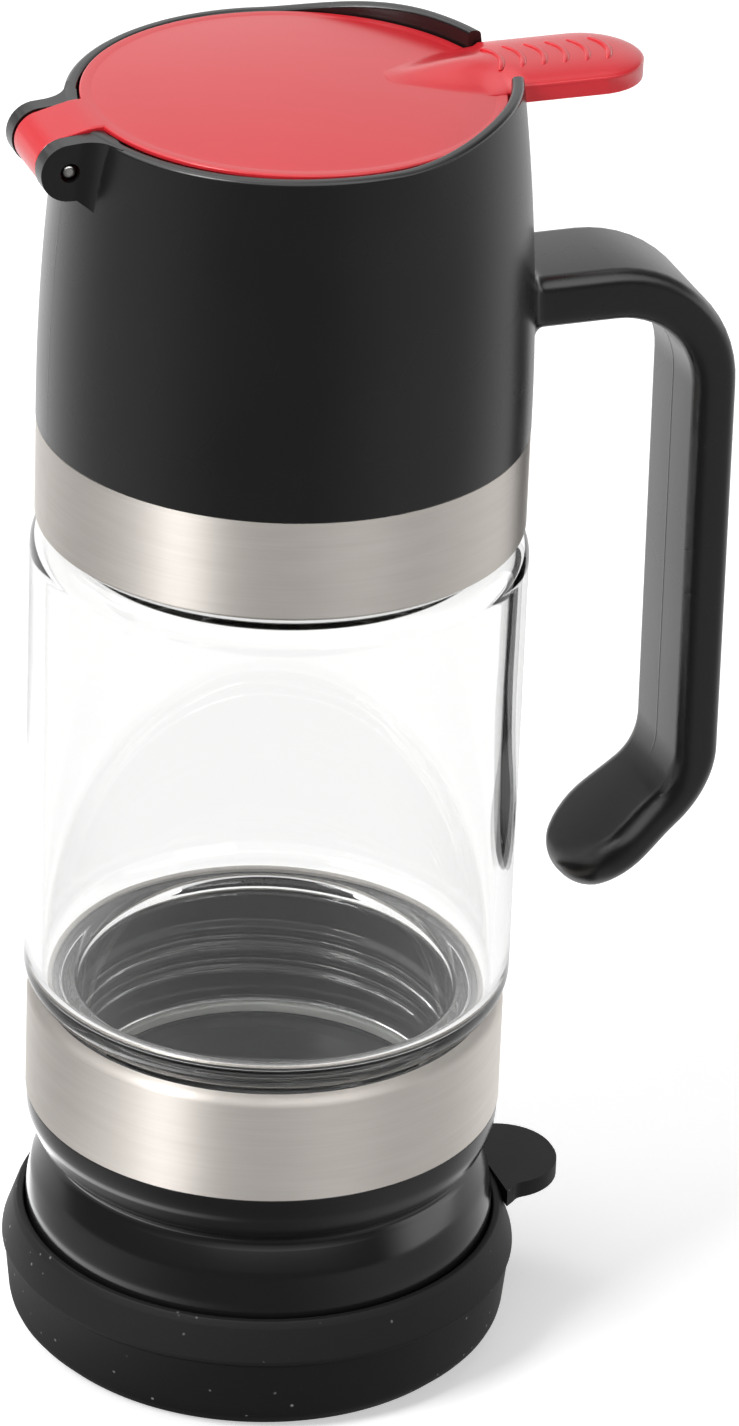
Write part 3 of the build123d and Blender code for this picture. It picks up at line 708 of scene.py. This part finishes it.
handle = loft("handle", [
    bar_ring(outer, inner, half_width, edge_round(outer[1]), mould_line(outer[1]))
    for outer, inner, half_width in stations], sharp=180)
root_x, root_reach = 34.6, 9
for vertex in handle.data.vertices:
    x, y, z = vertex.co / MM
    hold = 1 - smooth((x - root_x) / root_reach)
    vertex.co.x += hold * (sqrt(wall_radius(z) ** 2 - y * y) - root_x) * MM
join(collar, handle)
wear(collar, satin)
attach(collar, "collar")
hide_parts("collar")
print("collar and handle:", len(collar.data.polygons), "faces,", len(stations), "stations")

# %% [markdown]
# ## The lid
# The lid is a disc with a very shallow dome inside a low, narrow rim. A flap joins it to the barrel
# on the hinge pin, and opposite stands a broad thumb lever, which grows out of the disc as a ridge.
# The lever's rings are drawn across it: flat below, upright at the sides and crowned on top.

# %% Lid disc, barrel and flap
lid_top, lid_low, disc_radius, half_barrel = 196.35, 194.55, 29.7, 5.1


def dome(radius):
    """Height of the top of the disc, inside its rim."""
    return 197.15 - 0.84 * (radius / 28.0) ** 2


rim = rounded([
    (0, lid_low), (28.5, lid_low), (disc_radius, 195.75, 0.1), (disc_radius, lid_top, 0.3),
    (28.7, lid_top, 0.6), (28.0, dome(28.0), 0.5), (26.5, dome(26.5))], closed=False, turn=4)
disc = [(r, dome(r)) for r in (25.5, 24, 22, 19, 16, 13, 10, 7, 4, 0)]
lid = lathe("lid_look", rim + disc, 256, closed=False, sharp=50)
flap_top = lid_top + 0.005
flap_outline = [(-28.3, lid_low), (-28.3, flap_top), (-30.0, flap_top), (-31.2, 196.24), (-32.6, 195.90)]
flap = prism("flap", flap_outline + about_pin(4.0, 100, 352, 6), -half_barrel, half_barrel, "XZ")
soften(flap, 0.3, angle=60)
print("lid disc radius", disc_radius, "mm, barrel width", 2 * half_barrel, "mm")

# %% Thumb lever
def crown(y, half_width):
    """1 in the middle of the lever and 0 at its side, with a full shoulder."""
    return max(0.0, 1 - abs(y / half_width) ** 2.4) ** 0.62


def swell(y, half_width):
    """1 in the middle and 0 at the side, running out softly on to the disc."""
    return (1 - min(1.0, abs(y / half_width)) ** 2) ** 2.4


def lever_ring(x, half, low, side, top, firm=1.0):
    """Cross-section at a distance x from the axis, from a soft swell for 0 to the lever for 1."""
    edge = min(0.4, 0.3 * half)
    line = side - 0.35 if firm == 1.0 else side - 0.1
    flank = [(half - edge, low), (half - 0.3 * edge, low + 0.3 * edge), (half - 0.06, low + edge),
             (half - 0.06, line), (half, line + 0.05)]
    back = []
    for step in range(33):
        y = half * cos(pi * step / 32)
        full = firm * crown(y, half) + (1 - firm) * swell(y, half)
        back.append((y, side + (top - side) * full))
    return [(x, y, z) for y, z in flank + back + [(-y, z) for y, z in reversed(flank)]]


half_lever, lever_low, lever_side, lever_rise, tip_centre = 8.3, 194.5, 197.1, 1.25, 43.0
lever_top = lever_side + lever_rise
lever_rings = []
for step in range(22):
    x = 13.5 + 0.75 * step
    half = 4.0 + 4.6 * smooth((x - 13) / 13)
    side = dome(min(26.0, sqrt(x * x + half * half * 0.5))) - 0.04
    top = min(dome(min(x, 26.8)) + 2.1 * smooth((x - 12.5) / 16.5), lever_top)
    lever_rings.append(lever_ring(x, half, 195.0, side, top, 0.9 * smooth((x - 25) / 5.5)))
for x in (29.9, 32.0, 35.0, 38.0, 41.0, tip_centre):
    lever_rings.append(lever_ring(x, half_lever, lever_low, lever_side, lever_top))
for step in range(1, 19):
    angle = radians(5 * step)
    reach = half_lever * sin(angle)
    half = max(half_lever * cos(angle), 0.15)
    top = lever_side + lever_rise * crown(reach, half_lever)
    lever_rings.append(lever_ring(tip_centre + reach, half, lever_low, lever_side, top))
lever = loft("lever", lever_rings, sharp=50)
print("lever:", len(lever_rings), "cross-sections")

# %% [markdown]
# Six curved ribs give the thumb a grip. Each is an arc that bulges towards the tip, stands about a
# quarter of a millimetre above the crown and closes softly at both ends.

# %% Ribs
first_rib, rib_pitch, rib_bend, half_rib, rib_rise, rib_foot = 23.6, 3.2, 6.5, 0.44, 0.42, 196.95
ribs = []
for index in range(6):
    rings = []
    for step in range(-14, 15):
        angle = radians(38.0 * step / 14)
        full = sqrt(1 - (abs(step) / 14.2) ** 8)
        out = Vector((cos(angle), sin(angle)))
        centre = first_rib + rib_pitch * index
        spine = Vector((centre + rib_bend * cos(angle), rib_bend * sin(angle)))
        ring = []
        for k in range(9):
            reach, lift = cos(pi * k / 8), sin(pi * k / 8) ** 0.6
            point = spine + out * reach * half_rib * full
            foot = rib_foot + lever_rise * crown(point.y, half_lever)
            ring.append((point.x, point.y, foot + rib_rise * lift * full))
        rings.append(ring)
    ribs.append(loft("rib", rings, sharp=60))
join(lid, flap, lever, *ribs)
wear(lid, red)
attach(lid, "lid")
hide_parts("lid")
print("lid:", len(lid.data.polygons), "faces,", len(ribs), "ribs")

# %% [markdown]
# ## Parts that keep their solids
# What sits inside shows little, and its solids already have the right shape. Each only gets its own
# finish in place of the plain one.

# %% Inner parts
inner_finishes = {
    "inner_sleeve": satin, "lid_plug": white, "lid_seal": milky, "upper_gasket": milky,
    "lower_gasket": milky, "drip_valve": milky, "valve_retainer": white, "hinge_pin": pin_steel}
for node, finish in inner_finishes.items():
    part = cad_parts[node]
    for slot in part.material_slots:
        slot.material = finish.material
    print(node, "wears", finish.material.name)

# %% [markdown]
# ## Floor and backdrop
# The floor is plain and pale. What the camera sees, or sees through glass, is lifted to white, and
# the far floor most of all, so that no horizon shows, while the shadow of the object stays. A glossy
# black wall shows the floor beside it, and in a studio that floor is bright only near the lamps. So
# what a reflection sees has its own brightness, which changes around the room: bright at the left,
# less at the right and dark towards the viewer. A ring of floor around the foot is brighter still at
# the left, where it gives the base its lower highlight.

# %% Round the room
FRONT, LEFT = Vector((-0.3333, -0.9428)), Vector((-0.9428, 0.3333))
THROUGH_GLASS = 1.07


def bearing(finish, place):
    """Degrees around the room from the viewer's side, above 0 at the left and below at the right."""
    x, y = finish.axes(place)[:2]
    front = x * FRONT.x + y * FRONT.y
    left = x * LEFT.x + y * LEFT.y
    return front.maths("ARCTAN2", left, front) * (180 / pi)


def rays(finish):
    """Three wires: 1 for a ray from the camera, for one through glass and for a reflection."""
    path = finish.node("ShaderNodeLightPath").socket.node.outputs
    seen, clear, glossy = (Wire(finish, path[kind]) for kind in
                           ("Is Camera Ray", "Is Transmission Ray", "Is Glossy Ray"))
    return seen, clear * (1 - seen), glossy * (1 - seen) * (1 - clear)


print("the viewer stands at", round(atan2(FRONT.y, FRONT.x) * 180 / pi), "degrees")

# %% Floor
far = 3000
floor = prism("floor", [(-far, -far), (far, -far), (far, far), (-far, far)], -2.0, 0.0)
paper = Finish("pale_floor", Roughness=0.8, Specular_IOR_Level=0.0)
place = paper.place()
around = bearing(paper, place)
seen, clear, glossy = rays(paper)
paper.tint(seen, (0.80, 0.80, 0.80), (0.98, 0.98, 0.98))
reach = paper.node("ShaderNodeVectorMath", {"operation": "LENGTH"}, {0: place}, 1)
near = reach.between(0.049, 0.054) * (1 - reach.between(0.062, 0.074))
near_left = near * around.between(0, 60) * (1 - around.between(110, 165) * 0.7)
to_right = around * -1.0
on_left = around.between(20, 75) * 0.37 + around.between(85, 150) * 0.80 + near_left * 2.4
on_right = to_right.between(5, 60) * 0.30 + to_right.between(80, 120) * 0.42
mirrored = on_left + on_right + near * 0.06 + 0.16


def glow(strength):
    """White light of its own, as bright as a number or a wire says."""
    return paper.node("ShaderNodeEmission", {}, {"Color": (1, 1, 1, 1), "Strength": strength})


lit = Wire(paper, paper.shader.outputs[0])
lift = glow(seen * (0.44 + reach.between(0.5, 1.6) * 0.5))
lifted = paper.node("ShaderNodeAddShader", {}, {0: lit, 1: lift})
through = paper.node("ShaderNodeMixShader", {}, {0: clear, 1: lifted, 2: glow(THROUGH_GLASS)})
both = paper.node("ShaderNodeMixShader", {}, {0: glossy, 1: through, 2: glow(mirrored)})
paper.plug(paper.tree.nodes["Material Output"].inputs["Surface"], both)
wear(floor, paper)
print("floor is", 2 * far * MM, "m square")

# %% World
class Sky(Finish):
    """The world's nodes, with the same helpers as a finish."""

    def __init__(self):
        world = bpy.data.worlds.new("studio")
        world.use_nodes = True
        bpy.context.scene.world = world
        self.tree = world.node_tree


def bump(around, middle, width):
    """1 in the middle of a stretch of the room and 0 at its ends."""
    off = around.maths("ABSOLUTE", around - middle)
    return 1 - off.between(width * 0.2, width)


sky = Sky()
seen, clear, glossy = rays(sky)
direction = sky.node("ShaderNodeTexCoord", output="Generated")
around = bearing(sky, direction)
height = sky.axes(direction)[2]
turned_from = around.maths("ABSOLUTE", around)
to_right = around * -1.0
high, low = height.between(0.30, 0.52), 1 - height.between(0.15, 0.40)
front = ((1 - turned_from.between(70, 100)) * 2.0 * (1 - bump(around, 42, 24) * 0.55)
         + bump(around, 88, 26) * 0.6 + bump(around, -40, 26) * 0.9)
upper_left = height.between(0.50, 0.70) * around.between(85, 125) * 0.9
right_side = to_right.between(60, 85) * (1 - to_right.between(140, 165))
sides = around.between(100, 130) * 0.3 + right_side * 2.1
behind = turned_from.between(130, 165) * (0.72 - height.between(0.40, 0.75) * 0.45)
mirrored = 0.12 + turned_from.between(100, 125) * 0.20 + high * front
mirrored = mirrored + upper_left + low * sides + behind
on_object = glossy * mirrored + (1 - glossy) * 0.20
strength = seen + clear * THROUGH_GLASS + (1 - seen - clear) * on_object
back = sky.tree.nodes["Background"]
back.inputs["Color"].default_value = (1, 1, 1, 1)
sky.plug(back.inputs["Strength"], strength)
print("world is white to the eye and softer on the object")

# %% [markdown]
# ## Lamps
# The main soft box stands on the left. It throws the shadow to the right, and a wider one behind it
# fills the far half of that shadow, so that only a wedge beside the foot stays dark. A weak box hangs
# overhead and another stands low on the right of the camera. That one is kept out of reflections,
# because it would draw a patch on the glossy base.

# %% Lamps
def soft_box(name, azimuth, elevation, distance, size, power, mirrored=True):
    """Area lamp, in metres and watts, that looks at the middle of the dispenser."""
    lamp = bpy.data.lights.new(name, "AREA")
    lamp.shape = "RECTANGLE"
    lamp.size, lamp.size_y = size
    lamp.energy = power
    box = bpy.data.objects.new(name, lamp)
    bpy.context.scene.collection.objects.link(box)
    a, e = radians(azimuth), radians(elevation)
    away = Vector((cos(a) * cos(e), sin(a) * cos(e), sin(e)))
    target = Vector((0, 0, 0.1))
    box.location = target + away * distance
    box.rotation_euler = away.to_track_quat("Z", "Y").to_euler()
    box.visible_glossy = mirrored
    print(name, "at azimuth", azimuth, "elevation", elevation)


soft_box("box_left", -159, 40, 1.6, (0.50, 0.55), 16)
soft_box("box_back_left", 140, 56, 1.6, (1.2, 1.2), 8.5)
soft_box("box_top", 60, 76, 1.6, (1.2, 1.2), 3)
soft_box("box_right", -76, 12, 1.8, (1.0, 0.8), 9, mirrored=False)

# %% [markdown]
# ## Camera
# The camera looks down from the left front of the dispenser through a long lens.

# %% Camera
right = Vector((0.9423, -0.3332, 0.0348))
up = Vector((0.1236, 0.4421, 0.8884))
back_axis = right.cross(up).normalized()
up = back_axis.cross(right).normalized()
lens = bpy.data.cameras.new("camera")
lens.lens = 186.8
lens.sensor_width = 36
lens.clip_end = 20
camera = bpy.data.objects.new("camera", lens)
bpy.context.scene.collection.objects.link(camera)
turn = Matrix((right, up, back_axis)).transposed().to_4x4()
camera.matrix_world = Matrix.Translation((-0.3192, -0.8930, 0.5884)) @ turn
bpy.context.scene.camera = camera
bpy.context.scene.view_settings.view_transform = "Standard"
print("camera is", round(camera.location.length, 3), "m from the foot")
